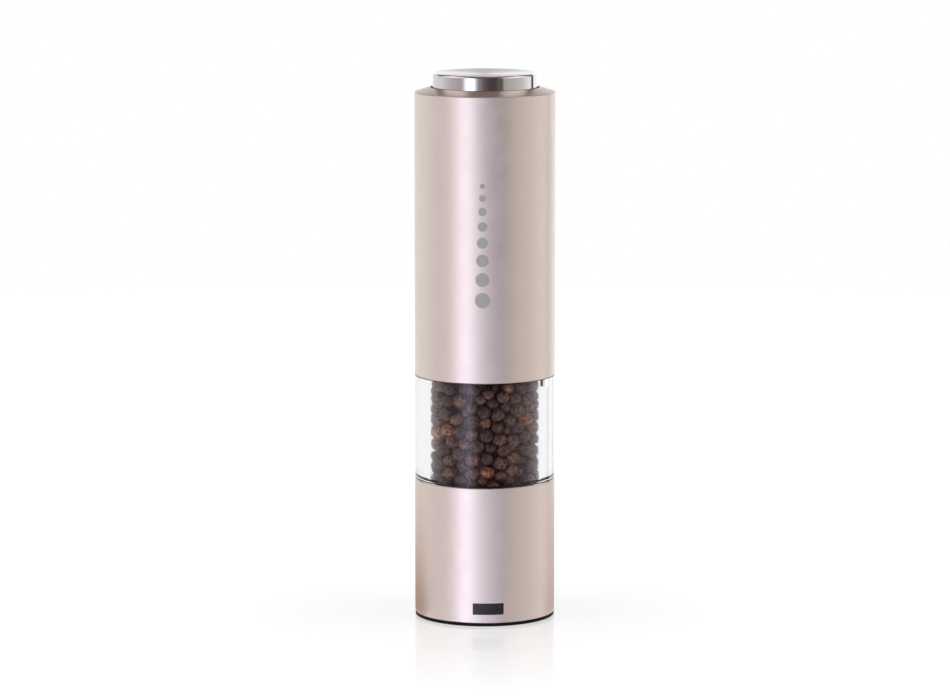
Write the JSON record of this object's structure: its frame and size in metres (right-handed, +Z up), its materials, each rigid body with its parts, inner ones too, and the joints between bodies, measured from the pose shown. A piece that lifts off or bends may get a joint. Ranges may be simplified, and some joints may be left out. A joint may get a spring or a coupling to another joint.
{
  "type": "battery pepper mill",
  "caption": "Slim cylindrical battery pepper mill: painted housing, clear pepper reservoir, pull-off sleeve over motor and cells, and a steel push button on top.",
  "frame": {"origin": "on the mill's axis at the underside of the foot ring", "axes": "+Z up along the mill's axis, -Y is the front, +X to the right seen from the front"},
  "size_m": [0.05, 0.05, 0.1947],
  "materials": {
    "painted": "satin metallic rose-champagne",
    "acrylic": "polished clear acrylic",
    "black_plastic": "moulded black plastic",
    "black_rubber": "black silicone",
    "ceramic": "sintered ceramic",
    "steel": "turned steel",
    "polished_steel": "polished stainless steel",
    "brass": "turned brass",
    "copper": "enamelled copper winding",
    "gear_plastic": "acetal",
    "magnet": "ferrite",
    "cap_plastic": "white nylon",
    "cell": "shrink-sleeved cell",
    "board": "printed circuit board",
    "red": "red insulation",
    "black_wire": "black insulation"
  },
  "bodies": {
    "base": {"foot_ring": "black_plastic", "lower_housing": "painted", "grinder_frame": "black_plastic", "stator_burr": "ceramic", "burr_retainer": "black_plastic", "retainer_screws": "steel", "shaft_bushing": "brass", "reservoir_gasket": "black_rubber", "pepper_reservoir": "acrylic"},
    "shaft": {"drive_shaft": "steel", "shaft_clip": "steel", "burr_spring": "steel"},
    "rotor": {"rotor_carrier": "black_plastic", "rotor_burr": "ceramic"},
    "knob": {"grind_knob": "black_plastic", "knob_insert": "brass"},
    "power_unit": {"chassis_plug": "black_plastic", "plug_seal": "black_rubber", "grip_ring": "black_rubber", "output_bush": "brass", "gearbox_case": "gear_plastic", "gearbox_cover": "steel", "gearbox_screws": "steel", "motor_screws": "steel", "motor_can": "steel", "motor_magnets": "magnet", "motor_end_cap": "cap_plastic", "motor_terminals": "brass", "inner_housing": "black_plastic", "battery_holder": "black_plastic", "battery_cells": "cell", "cell_springs": "steel", "cell_contacts": "steel", "holder_cap": "black_plastic", "holder_screws": "steel", "switch_board": "board", "switch_blades": "brass", "lead_red": "red", "lead_black": "black_wire", "button_spring": "steel"},
    "armature": {"motor_shaft": "steel", "motor_armature": "copper", "commutator": "copper", "sun_pinion": "brass"},
    "input_stage": {"input_carrier": "gear_plastic", "input_pins": "steel"},
    "planet_1a": {"planet_gear_1a": "gear_plastic"},
    "planet_1b": {"planet_gear_1b": "gear_plastic"},
    "planet_1c": {"planet_gear_1c": "gear_plastic"},
    "output_stage": {"output_carrier": "gear_plastic", "output_pins": "steel"},
    "planet_2a": {"planet_gear_2a": "gear_plastic"},
    "planet_2b": {"planet_gear_2b": "gear_plastic"},
    "planet_2c": {"planet_gear_2c": "gear_plastic"},
    "sleeve": {"outer_sleeve": "painted", "sleeve_collar": "black_plastic", "sleeve_guide": "black_plastic"},
    "button": {"button_cap": "polished_steel", "button_stem": "black_plastic", "contact_disc": "brass"}
  },
  "joints": [
    {"name": "armature_spin", "type": "hinge", "parent": "power_unit", "child": "armature", "pos_m": [0, 0, 0.115], "axis": [0, 0, 1], "continuous": true},
    {"name": "input_stage_spin", "type": "hinge", "parent": "power_unit", "child": "input_stage", "pos_m": [0, 0, 0.0974], "axis": [0, 0, 1], "continuous": true},
    {"name": "output_stage_spin", "type": "hinge", "parent": "power_unit", "child": "output_stage", "pos_m": [0, 0, 0.09], "axis": [0, 0, 1], "continuous": true},
    {"name": "shaft_spin", "type": "hinge", "parent": "base", "child": "shaft", "pos_m": [0, 0, 0.031], "axis": [0, 0, 1], "continuous": true},
    {"name": "planet_1a_spin", "type": "hinge", "parent": "input_stage", "child": "planet_1a", "pos_m": [0.00828, 0, 0.1005], "axis": [0, 0, 1], "continuous": true},
    {"name": "planet_1b_spin", "type": "hinge", "parent": "input_stage", "child": "planet_1b", "pos_m": [-0.00414, 0.00717, 0.1005], "axis": [0, 0, 1], "continuous": true},
    {"name": "planet_1c_spin", "type": "hinge", "parent": "input_stage", "child": "planet_1c", "pos_m": [-0.00414, -0.00717, 0.1005], "axis": [0, 0, 1], "continuous": true},
    {"name": "planet_2a_spin", "type": "hinge", "parent": "output_stage", "child": "planet_2a", "pos_m": [0.00828, 0, 0.0936], "axis": [0, 0, 1], "continuous": true},
    {"name": "planet_2b_spin", "type": "hinge", "parent": "output_stage", "child": "planet_2b", "pos_m": [-0.00414, 0.00717, 0.0936], "axis": [0, 0, 1], "continuous": true},
    {"name": "planet_2c_spin", "type": "hinge", "parent": "output_stage", "child": "planet_2c", "pos_m": [-0.00414, -0.00717, 0.0936], "axis": [0, 0, 1], "continuous": true},
    {"name": "knob_turn", "type": "hinge", "parent": "rotor", "child": "knob", "pos_m": [0, 0, 0.0055], "axis": [0, 0, 1], "range_deg": [-360, 360]},
    {"name": "rotor_slide", "type": "slide", "parent": "shaft", "child": "rotor", "axis": [0, 0, 1], "range_m": [-0.0008, 0.0008], "deforming": ["burr_spring"]},
    {"name": "unit_lift", "type": "slide", "parent": "base", "child": "power_unit", "axis": [0, 0, 1], "range_m": [0, 0.06]},
    {"name": "sleeve_lift", "type": "slide", "parent": "power_unit", "child": "sleeve", "axis": [0, 0, 1], "range_m": [0, 0.115]},
    {"name": "button_press", "type": "slide", "parent": "power_unit", "child": "button", "axis": [0, 0, -1], "range_m": [0, 0.0025], "stiffness_N_per_m": 900, "springref_m": -0.001, "deforming": ["button_spring"]}
  ],
  "couplings": [
    {"joint": "output_stage_spin", "follows": "shaft_spin", "ratio": 1},
    {"joint": "input_stage_spin", "follows": "shaft_spin", "ratio": 8},
    {"joint": "armature_spin", "follows": "shaft_spin", "ratio": 64},
    {"joint": "planet_2a_spin", "follows": "shaft_spin", "ratio": -2.3333},
    {"joint": "planet_2b_spin", "follows": "shaft_spin", "ratio": -2.3333},
    {"joint": "planet_2c_spin", "follows": "shaft_spin", "ratio": -2.3333},
    {"joint": "planet_1a_spin", "follows": "shaft_spin", "ratio": -18.667},
    {"joint": "planet_1b_spin", "follows": "shaft_spin", "ratio": -18.667},
    {"joint": "planet_1c_spin", "follows": "shaft_spin", "ratio": -18.667},
    {"joint": "knob_turn", "follows": "rotor_slide", "rad_per_m": 7854}
  ]
}
